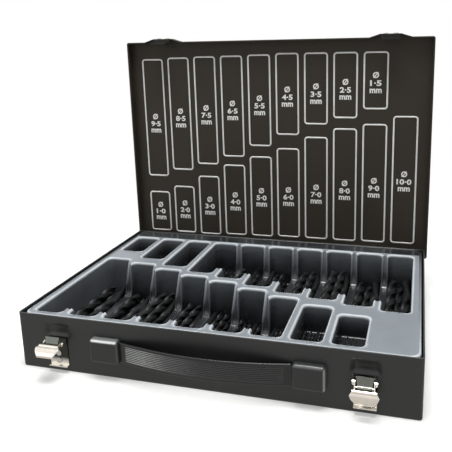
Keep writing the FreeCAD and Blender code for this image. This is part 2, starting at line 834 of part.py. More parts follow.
# Catch: a strip inside the bump that steps in below the rim and ends in a lip for the hook
def make_catch(x):
    bump_face = lid_front_gap + bump_reach - sheet
    jog_top = lid_rim - catch_jog_drop + catch_plate
    jog_low = lid_rim - catch_jog_drop
    w = catch_half_width
    parts = [
        front_block(x - w, x + w, bump_face - catch_plate, bump_face, jog_low, lid_rim + catch_upper_leg),
        front_block(x - w, x + w, catch_leg_out, bump_face, jog_low, jog_top),
        front_block(x - w, x + w, catch_leg_out, catch_leg_out + catch_plate, catch_lip_bottom, jog_top),
        front_block(x - w, x + w, catch_leg_out, catch_leg_out + catch_lip_reach, catch_lip_bottom,
                    catch_lip_bottom + catch_plate),
    ]
    radius = rivet_radius + running_gap
    holes = [front_rod(x + s * catch_rivet_half_spread, lid_front_gap - overrun, bump_face + overrun,
                       catch_rivet_z, radius) for s in (-1, 1)]
    return swing_open(cut(fuse(parts), holes))


def make_catch_rivets():
    rivets = []
    outer = front_wall - lid_front_gap - bump_reach
    for side, x in catches:
        for s in (-1, 1):
            rivets.append(rivet(x + s * catch_rivet_half_spread, outer, outer + sheet + catch_plate,
                                catch_rivet_z))
    return swing_open(Part.makeCompound(rivets))


# Handle cap, hollow for the strap's end, with a mouth that its broad tab cannot leave
def make_cap(side):
    cap = front_block(cap_inner, cap_outer, 0, cap_reach, cap_bottom, cap_top)
    rounded = [e for e in cap.Edges if e.BoundBox.YMax < front_wall - cap_reach / 2]
    cap = cap.makeFillet(cap_edge_radius, rounded)
    wall = cap_side
    out0 = cap_skin
    out1 = cap_reach - cap_skin
    pocket = front_block(cap_inner + cap_mouth_wall, cap_pocket_end, out0, out1, cap_bottom + wall,
                         cap_top - wall)
    narrow = wall + strap_neck_step
    mouth = front_block(cap_inner - overrun, cap_inner + cap_mouth_wall + overrun, out0, out1,
                        cap_bottom + narrow, cap_top - narrow)
    holes = [front_rod(screw_x, -overrun, screw_depth, z, screw_radius + running_gap) for z in screw_zs]
    cap = cut(cap, [pocket, mouth] + holes)
    if side < 0:
        cap = cap.mirror(vec(0, 0, 0), vec(1, 0, 0))
    return cap


# Handle strap: one bowed strip, necked where it enters each cap and broad again inside
def make_strap():
    low = cap_bottom + cap_side + strap_gap
    high = cap_top - cap_side - strap_gap
    neck_x = cap_inner - 2 * strap_gap
    tab_x = cap_inner + cap_mouth_wall + strap_gap
    inner = front_wall - strap_start_out
    outer = inner - strap_thickness
    bow = [
        Part.Arc(vec(-neck_x, inner, low), vec(0, inner - strap_sagitta, low), vec(neck_x, inner, low)),
        Part.LineSegment(vec(neck_x, inner, low), vec(neck_x, outer, low)),
        Part.Arc(vec(neck_x, outer, low), vec(0, outer - strap_sagitta, low), vec(-neck_x, outer, low)),
        Part.LineSegment(vec(-neck_x, outer, low), vec(-neck_x, inner, low)),
    ]
    strip = Part.Face(Part.Wire([curve.toShape() for curve in bow])).extrude(vec(0, 0, high - low))
    parts = [strip]
    for s in (-1, 1):
        neck = sorted((s * neck_x, s * tab_x))
        tab = sorted((s * tab_x, s * strap_tab_end))
        step = strap_neck_step
        out1 = strap_start_out + strap_thickness
        parts.append(front_block(neck[0], neck[1], strap_start_out, out1, low + step, high - step))
        parts.append(front_block(tab[0], tab[1], strap_start_out, out1, low, high))
    return fuse(parts)


# Screws from inside the case that hold the caps
def make_handle_screws():
    screws = []
    for x in (-screw_x, screw_x):
        for z in screw_zs:
            shank = front_rod(x, -sheet, screw_depth - running_gap, z, screw_radius)
            head = front_rod(x, -sheet - rivet_head, -sheet, z, screw_head_radius)
            screws.append(fuse([shank, head]))
    return Part.makeCompound(screws)


os.makedirs("parts", exist_ok=True)
save("base_shell", make_base_shell())
save("tray_insert", make_tray())
for drill, left, front, back in compartments():
    save("drills_" + drill[0], make_drills(drill, left, front, back))
save("lid_shell", make_lid_shell())
for side, centre in zip(("left", "right"), hinge_centres):
    save("hinge_base_leaf_" + side, make_base_leaf(centre))
    save("hinge_lid_leaf_" + side, make_lid_leaf(centre))
    save("hinge_pin_" + side, make_hinge_pin(centre))
save("hinge_base_rivets", make_hinge_base_rivets())
save("hinge_lid_rivets", make_hinge_lid_rivets())
for side, x, angle in latches:
    save("latch_plate_" + side, make_latch_plate(x))
    save("latch_lever_" + side, make_lever(x, angle))
    save("latch_hook_pin_" + side, make_hook_pin(x, angle))
    save("latch_hook_" + side, make_hook(x, angle))
save("latch_studs", make_latch_studs())
save("latch_rivets", make_latch_rivets())
for side, x in catches:
    save("lid_catch_" + side, make_catch(x))
save("lid_catch_rivets", make_catch_rivets())
save("handle_cap_left", make_cap(-1))
save("handle_cap_right", make_cap(1))
save("handle_strap", make_strap())
save("handle_screws", make_handle_screws())
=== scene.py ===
import math

import bmesh
import bpy
import numpy as np
from mathutils import Matrix, Vector, geometry


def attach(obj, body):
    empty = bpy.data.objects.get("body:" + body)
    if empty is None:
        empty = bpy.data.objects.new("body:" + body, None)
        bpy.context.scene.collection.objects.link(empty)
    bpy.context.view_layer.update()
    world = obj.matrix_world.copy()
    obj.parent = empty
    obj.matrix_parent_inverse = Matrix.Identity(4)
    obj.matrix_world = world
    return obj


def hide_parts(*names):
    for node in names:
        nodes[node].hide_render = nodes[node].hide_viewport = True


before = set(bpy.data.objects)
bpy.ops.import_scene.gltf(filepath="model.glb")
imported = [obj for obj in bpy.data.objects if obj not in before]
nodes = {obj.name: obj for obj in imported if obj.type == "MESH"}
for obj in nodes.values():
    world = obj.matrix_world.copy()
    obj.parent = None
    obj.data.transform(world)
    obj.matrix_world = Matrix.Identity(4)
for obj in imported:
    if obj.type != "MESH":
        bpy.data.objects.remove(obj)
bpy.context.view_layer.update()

mm = 0.001
print("frame loaded:", len(nodes), "pieces")


def linearColour(text):
    # sRGB hex to the linear values that shaders take
    srgb = np.array([int(text[i:i + 2], 16) for i in (1, 3, 5)]) / 255
    linear = np.where(srgb <= 0.04045, srgb / 12.92, ((srgb + 0.055) / 1.055) ** 2.4)
    return (*[float(c) for c in linear], 1.0)


def fill(tree, node, inputs):
    # links each of a node's inputs to a socket, or sets it to a value
    for key, value in inputs.items():
        if isinstance(value, bpy.types.NodeSocket):
            tree.links.new(value, node.inputs[key])
        else:
            node.inputs[key].default_value = value


def addNode(tree, kind, inputs, **settings):
    # a new node with its properties set and its inputs filled
    node = tree.nodes.new(kind)
    for key, value in settings.items():
        setattr(node, key, value)
    fill(tree, node, inputs)
    return node


def placeOf(tree):
    return addNode(tree, "ShaderNodeTexCoord", {}).outputs["Object"]


def noise(tree, size, detail):
    # clouds from 0 to 1, about size millimetres wide, that stay with the piece
    inputs = {"Vector": placeOf(tree), "Scale": 1 / (size * mm), "Detail": detail}
    return addNode(tree, "ShaderNodeTexNoise", inputs).outputs["Fac"]


def between(tree, share, colours, places=(0, 1)):
    # a colour that runs through sRGB colours, each at its place along share
    node = addNode(tree, "ShaderNodeValToRGB", {"Fac": share})
    stops = node.color_ramp.elements
    stops[0].position, stops[1].position = places[0], places[-1]
    for place in places[1:-1]:
        stops.new(place)
    for stop, colour in zip(stops, colours):
        stop.color = linearColour(colour)
    return node.outputs["Color"]


def mapped(tree, value, low, high, start=0.0, end=1.0, kind="LINEAR"):
    # takes a value from the range start to end into the range low to high
    inputs = {"Value": value, "From Min": start, "From Max": end, "To Min": low, "To Max": high}
    return addNode(tree, "ShaderNodeMapRange", inputs, interpolation_type=kind).outputs["Result"]


def reckon(tree, operation, first, second, clamp=False):
    inputs = {0: first, 1: second}
    return addNode(tree, "ShaderNodeMath", inputs, operation=operation, use_clamp=clamp).outputs[0]


def paintedLightOf(tree):
    # the painted light and shade that a piece's mesh carries at each point
    return addNode(tree, "ShaderNodeAttribute", {}, attribute_name="paintedLight").outputs["Fac"]


def roughen(tree, shader, size, detail, strength, depth):
    # an uneven surface of size millimetres across and depth millimetres high
    inputs = {"Height": noise(tree, size, detail), "Strength": strength, "Distance": depth * mm}
    fill(tree, shader, {"Normal": addNode(tree, "ShaderNodeBump", inputs).outputs["Normal"]})


def newMaterial(name):
    material = bpy.data.materials.new(name)
    material.use_nodes = True
    return material, material.node_tree, material.node_tree.nodes["Principled BSDF"]


def newObject(name, data):
    thing = bpy.data.objects.new(name, data)
    bpy.context.scene.collection.objects.link(thing)
    return thing


def makePiece(name, points, faces, finish, body, sharpAngle=38, smooth=True):
    # a mesh from whole arrays: points in millimetres, faces as arrays of three or four corners, or lists
    mesh = bpy.data.meshes.new(name)
    corners = [np.asarray(f, int) for f in faces if len(f)]
    counts = np.concatenate([np.full(len(f), f.shape[1]) if f.ndim == 2 else [len(f)] for f in corners])
    loops = np.concatenate([f.ravel() for f in corners])
    mesh.vertices.add(len(points))
    mesh.vertices.foreach_set("co", (np.asarray(points, float) * mm).ravel())
    mesh.loops.add(len(loops))
    mesh.loops.foreach_set("vertex_index", loops)
    mesh.polygons.add(len(counts))
    mesh.polygons.foreach_set("loop_start", np.concatenate([[0], np.cumsum(counts)[:-1]]))
    mesh.update(calc_edges=True)
    mesh.validate()
    if smooth:
        roundOff(mesh, sharpAngle)
    mesh.materials.append(materials[finish])
    return addObject(name, mesh, body)


def addObject(name, mesh, body):
    # a piece that rides on its body, at the origin
    piece = newObject(name, mesh)
    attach(piece, body)
    return piece


def roundOff(mesh, sharpAngle):
    # smooth shading everywhere but over edges sharper than the angle in degrees
    mesh.polygons.foreach_set("use_smooth", np.ones(len(mesh.polygons), bool))
    mesh.set_sharp_from_angle(angle=math.radians(sharpAngle))


def addPaintedLight(piece, paintedValues):
    # how much painted light and shade the piece carries at each point, for its material
    paintedLight = piece.data.attributes.new("paintedLight", "FLOAT", "POINT")
    paintedLight.data.foreach_set("value", paintedValues)


def gridFaces(rows, columns, start=0, closedRows=False, closedColumns=False):
    # four corners of each cell of a grid of rows by columns, whose points run along the columns
    r = np.arange(rows if closedRows else rows - 1)
    c = np.arange(columns if closedColumns else columns - 1)
    a, b = np.meshgrid(r, c, indexing="ij")
    a2, b2 = (a + 1) % rows, (b + 1) % columns
    cells = np.stack([a * columns + b, a * columns + b2, a2 * columns + b2, a2 * columns + b], -1)
    return cells.reshape(-1, 4) + start


def closedTube(rows, columns):
    # the faces of a stack of closed rings, and of the two flat ends that close it
    first = np.arange(columns)
    return [gridFaces(rows, columns, closedColumns=True), first[::-1][None, :],
            (first + (rows - 1) * columns)[None, :]]


def roundCorners(x0, x1, y0, y1, r, angles):
    # a rectangle's outline as (x, y), counterclockwise from its lower right corner, rounded by radius r
    # about the corners of x0 to x1 by y0 to y1
    outline = []
    for cx, cy, quarter in ((x1, y0, -1), (x1, y1, 0), (x0, y1, 1), (x0, y0, 2)):
        a = angles + quarter * math.pi / 2
        outline.append(np.stack([cx + r * np.cos(a), cy + r * np.sin(a)], -1))
    return np.concatenate(outline)


metal = {"Metallic": 1.0}
finishes = {
    # two colours, size in millimetres and detail of the clouds that mix them, roughness in each colour,
    # size, detail, strength and depth of the bump, any other inputs
    # stoved enamel on pressed sheet: satin charcoal with a faint orange peel of 1.5 mm, browner in the lid
    "stovedEnamel": ("#1f2120", "#2a2c2b", (71.43, 4), (0.34, 0.46), (1.5, 1, 0.1, 0.05), {}),
    "stovedEnamelLid": ("#302c25", "#3b362e", (71.43, 4), (0.5, 0.62), (1.5, 1, 0.1, 0.05),
                        {"Specular IOR Level": 0.22}),
    # black oxide on high speed steel: near black and satin
    "blackOxideSteel": ("#08090a", "#17191a", (1.2, 3), (0.42, 0.6), None, {"Metallic": 0.35}),
    # plated metals, from mirror bright to dull, whose sheet is not quite flat
    "chromePlate": ("#cdc8c0", "#ebe6dd", (6, 4), (0.08, 0.16), (5, 0, 0.2, 0.3), metal),
    "shadedChromePlate": ("#cdc8c0", "#ebe6dd", (6, 4), (0.1, 0.18), (5, 0, 0.15, 0.3), metal),
    "satinNickelPlate": ("#d9d2c8", "#f4ece2", (6, 4), (0.24, 0.34), (5, 0, 0.15, 0.3), metal),
    # the hooks' plated steel, painted darker as a painted reflection of the dark floor next to the case
    "hookSteelPaintedDark": ("#6c706b", "#8b8f88", (5, 4), (0.14, 0.24), (5, 0, 0.15, 0.3), metal),
    "blackenedSteel": ("#262725", "#343532", (5, 4), (0.24, 0.36), (5, 0, 0.15, 0.3), metal),
    "zincPlate": ("#9fa3a8", "#c2c5c8", (3, 4), (0.28, 0.45), (5, 0, 0.05, 0.3), metal),
    "platedRivetSteel": ("#b5b5b3", "#d2d1cd", (4, 4), (0.22, 0.36), (5, 0, 0.05, 0.3), metal),
    # moulded polyethylene: black, satin, with a fine pebble grain of 0.8 mm
    "rubbedStrapPlastic": ("#0f1010", "#171818", (25, 3), (0.22, 0.34), (0.8, 2, 0.2, 0.06), {}),
    "rubbedCapPlastic": ("#1b1d1d", "#242626", (25, 3), (0.3, 0.42), (0.8, 2, 0.2, 0.06), {}),
    # screen printed ink: off white, matt, its cover a little uneven over 2 mm
    "screenPrintInk": ("#eeeeea", "#fbfbf8", (2, 3), None, None, {"Roughness": 0.55}),
}


def makeFinish(name, low, high, clouds, rough, bump, others):
    material, tree, shader = newMaterial(name)
    drift = noise(tree, *clouds)
    fill(tree, shader, {"Base Color": between(tree, drift, (low, high)), **others})
    if rough:
        fill(tree, shader, {"Roughness": mapped(tree, drift, *rough)})
    if bump:
        roughen(tree, shader, *bump)
    return material


def layOver(material, share, colour):
    # lays a second colour over a material's own, as strongly as share says
    tree = material.node_tree
    base = tree.nodes["Principled BSDF"].inputs["Base Color"]
    inputs = {"Factor": share, "A": base.links[0].from_socket, "B": linearColour(colour)}
    mixed = addNode(tree, "ShaderNodeMix", inputs, data_type="RGBA")
    tree.links.new(mixed.outputs["Result"], base)


def makeStyrene():
    # thermoformed polystyrene: glossy near black down in the pockets, with painted shade deepening down
    # their walls, grey on the flat, partly from scuffing and partly painted light, and a painted pale
    # highlight on the rolled edges, as the mesh's painted light attribute says, patchy over 30 mm and uneven
    # over 9 mm
    material, tree, shader = newMaterial("thermoformedStyrene")
    patchy = mapped(tree, noise(tree, 30, 5), -0.04, 0.04, 0.3, 0.7)
    paintedShare = reckon(tree, "ADD", paintedLightOf(tree), patchy, True)
    colour = between(tree, paintedShare, ("#202224", "#83898e", "#d3d8db"), (0.08, 0.62, 1))
    fill(tree, shader, {"Base Color": colour, "Roughness": mapped(tree, paintedShare, 0.2, 0.5),
                        "Specular IOR Level": mapped(tree, paintedShare, 0.5, 0.2), "IOR": 1.59})
    roughen(tree, shader, 9, 1.5, 0.25, 0.25)
    return material


materials = {name: makeFinish(name, *finish) for name, finish in finishes.items()}
materials["thermoformedStyrene"] = makeStyrene()

for name in ("rubbedStrapPlastic", "rubbedCapPlastic"):
    # edges and ribs carry a painted pale highlight, as the mesh's painted light attribute says, a little
    # uneven over 3 mm
    tree = materials[name].node_tree
    uneven = mapped(tree, noise(tree, 3, 2), 0.8, 1.2)
    layOver(materials[name], reckon(tree, "MULTIPLY", paintedLightOf(tree), uneven, True), "#e9ecea")

# the latch plate's flat is dark in the shade of its lever, its ears and its lip at the foot are bright
tree = materials["shadedChromePlate"].node_tree
parts = addNode(tree, "ShaderNodeSeparateXYZ", {0: placeOf(tree)}).outputs
flat = mapped(tree, parts["Y"], 0, 1, -120.4 * mm, -119.7 * mm)
aboveLip = mapped(tree, parts["Z"], 0, 1, 10 * mm, 14 * mm)
layOver(materials["shadedChromePlate"], reckon(tree, "MULTIPLY", flat, aboveLip), "#3c3d3a")
print("materials made")

finishOf = {
    # the start of a node's name and its material: the first that fits is taken
    "base_shell": "stovedEnamel", "lid_shell": "stovedEnamelLid", "tray_insert": "thermoformedStyrene",
    "drills_": "blackOxideSteel", "handle_screws": "platedRivetSteel", "handle_": "rubbedStrapPlastic",
    "hinge_": "zincPlate", "latch_rivets": "platedRivetSteel", "lid_catch_rivets": "platedRivetSteel",
    "lid_catch_": "blackenedSteel", "latch_lever": "satinNickelPlate", "latch_plate": "shadedChromePlate",
    "latch_hook_pin": "chromePlate", "latch_hook_": "hookSteelPaintedDark", "": "chromePlate",
}
for name, piece in nodes.items():
    piece.data.materials.clear()
    piece.data.materials.append(materials[next(f for s, f in finishOf.items() if name.startswith(s))])


view = {
    "place": (164.853, -521.839, 280.937),  # millimetres
    "turn": 0.2659,  # radians towards -X
    "tilt": -0.2121,
    "roll": -0.0208,
    "focal": 579.2,  # in pixels of a frame 452 wide
    "middle": (263.87, 168.82),
    "frame": 452,
    "sensor": 36.0,
}


def makeCamera(v):
    turn, tilt = v["turn"], v["tilt"]
    ahead = Vector((-math.sin(turn) * math.cos(tilt), math.cos(turn) * math.cos(tilt), math.sin(tilt)))
    level = Vector((math.cos(turn), math.sin(turn), 0))
    upright = level.cross(ahead)
    right = level * math.cos(v["roll"]) + upright * math.sin(v["roll"])
    up = -level * math.sin(v["roll"]) + upright * math.cos(v["roll"])
    data = bpy.data.cameras.new("camera")
    data.sensor_width = v["sensor"]
    data.lens = v["focal"] * v["sensor"] / v["frame"]
    data.shift_x = (v["frame"] / 2 - v["middle"][0]) / v["frame"]
    data.shift_y = (v["middle"][1] - v["frame"] / 2) / v["frame"]
    data.clip_start, data.clip_end = 0.01, 50
    camera = newObject("camera", data)
    matrix = Matrix((right, up, -ahead)).transposed().to_4x4()
    matrix.translation = Vector(v["place"]) * mm
    camera.matrix_world = matrix
    bpy.context.scene.camera = camera


room = {
    "floorSize": 30.0,  # metres
    "floorColour": "#dededc",
    "fadeStart": 0.28,  # metres from the middle, where the floor starts to turn into the white backdrop
    "fadeEnd": 0.75,
    "ambient": 0.16,  # how strongly the white surroundings light what is not glossy
    "floorGlow": 0.32,  # lifts the near floor to white but for the object's shadow
    "mirroredFloor": 0.7,  # how bright the near floor looks in polished pieces
    "mirroredTint": (1, 0.98, 0.95, 1),
    "lamps": [  # name, place, size, power, what it points at
        ("softboxAbove", (0.05, -0.1, 1.5), 0.8, 30, (0, -0.05, 0)),
        ("softboxFront", (-1.2, -1.7, 1.0), 1.4, 4, (0, 0, 0.05)),
    ],
}


def makeRoom(r):
    # white surroundings, a pale floor that turns white away from the object, and the lamps
    scene = bpy.context.scene
    world = bpy.data.worlds.new("whiteRoom")
    scene.world = world
    world.use_nodes = True
    tree = world.node_tree
    rays = addNode(tree, "ShaderNodeLightPath", {}).outputs
    seen = reckon(tree, "MAXIMUM", rays["Is Camera Ray"], rays["Is Glossy Ray"])
    seen = reckon(tree, "MAXIMUM", seen, rays["Is Transmission Ray"])
    fill(tree, tree.nodes["Background"], {"Color": (1, 1, 1, 1),
                                          "Strength": mapped(tree, seen, r["ambient"], 1.0)})

    half = r["floorSize"] / 2
    mesh = bpy.data.meshes.new("floor")
    mesh.from_pydata([(-half, -half, 0), (half, -half, 0), (half, half, 0), (-half, half, 0)], [],
                     [(0, 1, 2, 3)])
    floor = newObject("floor", mesh)
    # pale matt board that glows to white with distance, and looks evenly bright in polished pieces
    material, tree, shader = newMaterial("paleFloor")
    mesh.materials.append(material)
    fill(tree, shader, {"Base Color": linearColour(r["floorColour"]), "Roughness": 0.9,
                        "Specular IOR Level": 0.0})

    def glow(strength, colour=(1, 1, 1, 1)):
        inputs = {"Color": colour, "Strength": strength}
        return addNode(tree, "ShaderNodeEmission", inputs).outputs[0]

    def mix(share, first, second):
        return addNode(tree, "ShaderNodeMixShader", {"Fac": share, 1: first, 2: second}).outputs[0]
    away = addNode(tree, "ShaderNodeVectorMath", {0: placeOf(tree)}, operation="LENGTH").outputs["Value"]
    far = mapped(tree, away, 0, 1, r["fadeStart"], r["fadeEnd"], "SMOOTHSTEP")
    plain, white = shader.outputs[0], glow(1.0)
    lifted = addNode(tree, "ShaderNodeAddShader", {0: plain, 1: glow(r["floorGlow"])}).outputs[0]
    rays = addNode(tree, "ShaderNodeLightPath", {}).outputs
    seen = reckon(tree, "MAXIMUM", rays["Is Camera Ray"], rays["Is Glossy Ray"])
    whole = mix(seen, plain, mix(far, lifted, white))
    mirrored = mix(far, glow(r["mirroredFloor"], r["mirroredTint"]), white)
    fill(tree, tree.nodes["Material Output"], {"Surface": mix(rays["Is Glossy Ray"], whole, mirrored)})

    for name, spot, size, power, target in r["lamps"]:
        lamp = bpy.data.lights.new(name, "AREA")
        lamp.shape = "SQUARE"
        lamp.size = size
        lamp.energy = power
        holder = newObject(name, lamp)
        holder.location = spot
        holder.rotation_euler = (Vector(target) - Vector(spot)).to_track_quat("-Z", "Y").to_euler()
    scene.view_settings.view_transform = "Standard"


makeCamera(view)
makeRoom(room)
print("camera, floor and light made")


tray = {
    "left": 169.8,  # how far the rim reaches to each side of the case's middle
    "right": 171.7,
    "halfDepth": 116.8,
    "top": 51.2,
    "floor": 2.5,
    "frontRises": [0, 0, 0, 0, 2, 7, 12, 22.5, 28],  # how far each pocket's floor stands above the lowest
    "backRises": [30, 26, 20, 12, 9, 4, 2, 2, 0, 0],
    "ridge": 7.6,  # widths
    "pocket": 25.8,
    "firstColumn": -163.2,
    "frontRow": -109.8,
    "backRow": 94.3,
    "frontLengths": [132.5, 124.5, 114.5, 104.5, 96.5, 85.0, 74.0, 62.5, 50.5],
    "backLengths": [46.0, 63.4, 78.5, 89.4, 97.6, 110.1, 119.8, 125.8, 132.8, 138.4],
    "frontNotches": range(0, 6),
    "backNotches": range(3, 9),
    "saddle": 17.0,  # height of a notch's bottom
    "frontFin": 9.0,  # length of the full height ridge before a notch in each row, and behind it
    "backFin": 14.0,
    "backLand": 3.5,
    "frontFall": 14.0,  # how far the notch's two ends take to reach the saddle
    "backFall": 11.0,
    "fallPower": 2,
    "climbPower": 2.8,
    "blurReach": 12,
    "blurStep": 0.1,
    "blurSteps": 16,
    # points along a ridge: on a plain one, and from which to which share of a fall or climb and how many
    "plainPoints": 7,
    "fallPoints": (-0.14, 1.05, 15),
    "climbPoints": (1.05, 0.12, 13),
    "flatPoints": 6,
    "draft": 0.7,  # how much wider a pocket is at its top, on each side
    "edge": 2.2,  # radius of the rolled edges
    "cornerTop": 6.0,
    "margin": 6.4,  # how far the points of the straight sides stay off a pocket's ends
    "least": 1,  # a longer gap than this gets a point
    "spacing": 11,  # of the points where no ridge stands
    "spacingEnds": (6, 3),  # how far these points keep from the ridge and from the side's end
    "sideReach": 3,  # points this near to a side wall take their height from its ridge
    "wallParts": (0.25, 0.5, 0.75),
    "cornerFloor": 2.5,
    "cornerShrink": 0.6,  # how much of the fillet's inset the corners lose on the floor
    "floorFillet": 2.2,
    "filletSteps": 5,
    "rimCorner": 7.0,
    "rimEdge": 1.8,
    "rimDrop": 4.5,
    "rimSteps": 9,
    "cornerSteps": 7,
    "gauge": 0.9,  # sheet thickness
    "lidShadeFrom": (98.8, 100.6),  # behind these the deck lies under the hinge side and is painted black, as the open lid's shade
    "lineInset": 2.4,
    "linePoints": 40,
    # painted light across a rolled edge from the flat down to the wall, a painted highlight on the edge,
    # painted shade deepening down the walls, on the floor and where there is none, and how a notched ridge
    # is painted darker below its full height: start and span, least share and power
    "rollPaintedLight": [0.58, 0.74, 0.9, 0.82, 0.56, 0.36],
    "wallPaintedLight": [0.24, 0.14, 0.08],
    "openWallPaintedLight": [0.33, 0.29, 0.24],  # painted lighter in the widest pocket, which lies open to the light
    "floorPaintedLight": 0.05,
    "paintedShadeLevel": 0.1,
    "notchPaintedShade": (8, 22, 0.15, 1.2),
}


def ridgeHeight(t, notch, y):
    # height of a ridge's crest along y: full height, then a fall by the square of the way left to the
    # saddle, the saddle itself and a steeper climb by the power 2.8, all smoothed over 1.6 mm
    if notch is None:
        return np.full(np.shape(y), t["top"])
    y0, y1 = notch
    fine = np.arange(y0 - t["blurReach"], y1 + t["blurReach"], t["blurStep"])
    fall = np.clip((fine - y0) / t["frontFall"], 0, 1)
    climb = np.clip((y1 - fine) / t["backFall"], 0, 1)
    share = np.maximum((1 - fall) ** t["fallPower"], (1 - climb) ** t["climbPower"])
    height = t["saddle"] + (t["top"] - t["saddle"]) * share
    half = t["blurSteps"] // 2
    blur = np.ones(t["blurSteps"]) / t["blurSteps"]
    height = np.convolve(np.pad(height, half, mode="edge"), blur, mode="same")[half:-half]
    return np.interp(y, fine, height)


def ridgeSamples(t, front, back, notch):
    # places along y where both walls of a ridge have a point, close together where the crest bends
    low, high = front + t["margin"], back - t["margin"]
    if notch is None:
        return np.linspace(low, high, t["plainPoints"])
    fall = notch[0] + t["frontFall"] * np.linspace(*t["fallPoints"])
    climb = notch[1] - t["backFall"] * np.linspace(*t["climbPoints"])
    flat = np.linspace(fall[-1], climb[0], t["flatPoints"])[1:-1]
    places = np.concatenate([[low], fall, flat, climb])
    return places[(places >= low - 1e-6) & (places <= high + 1e-6)]


def pocketLoop(t, shape, grow, corner):
    # outline of one pocket as (x, y): a rectangle grown outwards by grow, which may change along the
    # outline, with corners of radius corner and the shape's places along y on its two long sides
    left, right, front, back, leftSide, rightSide = shape
    angles = np.linspace(0, math.pi / 2, t["cornerSteps"])
    ends = np.linspace(left + t["margin"], right - t["margin"], 3)
    counts = [len(part) for part in (angles, rightSide, angles, ends, angles, leftSide, angles, ends)]
    g = np.split(np.broadcast_to(grow, sum(counts)), np.cumsum(counts)[:-1])

    def bend(x, y, signX, signY, turn, g):
        a = angles + turn * math.pi / 2
        return [x + signX * (g - corner) + corner * np.cos(a), y + signY * (g - corner) + corner * np.sin(a)]
    parts = [bend(right, front, 1, -1, -1, g[0]), [right + g[1], rightSide],
             bend(right, back, 1, 1, 0, g[2]), [ends[::-1], back + g[3]],
             bend(left, back, -1, 1, 1, g[4]), [left - g[5], leftSide[::-1]],
             bend(left, front, -1, -1, 2, g[6]), [ends, front - g[7]]]
    return np.concatenate([np.stack(part, -1) for part in parts])


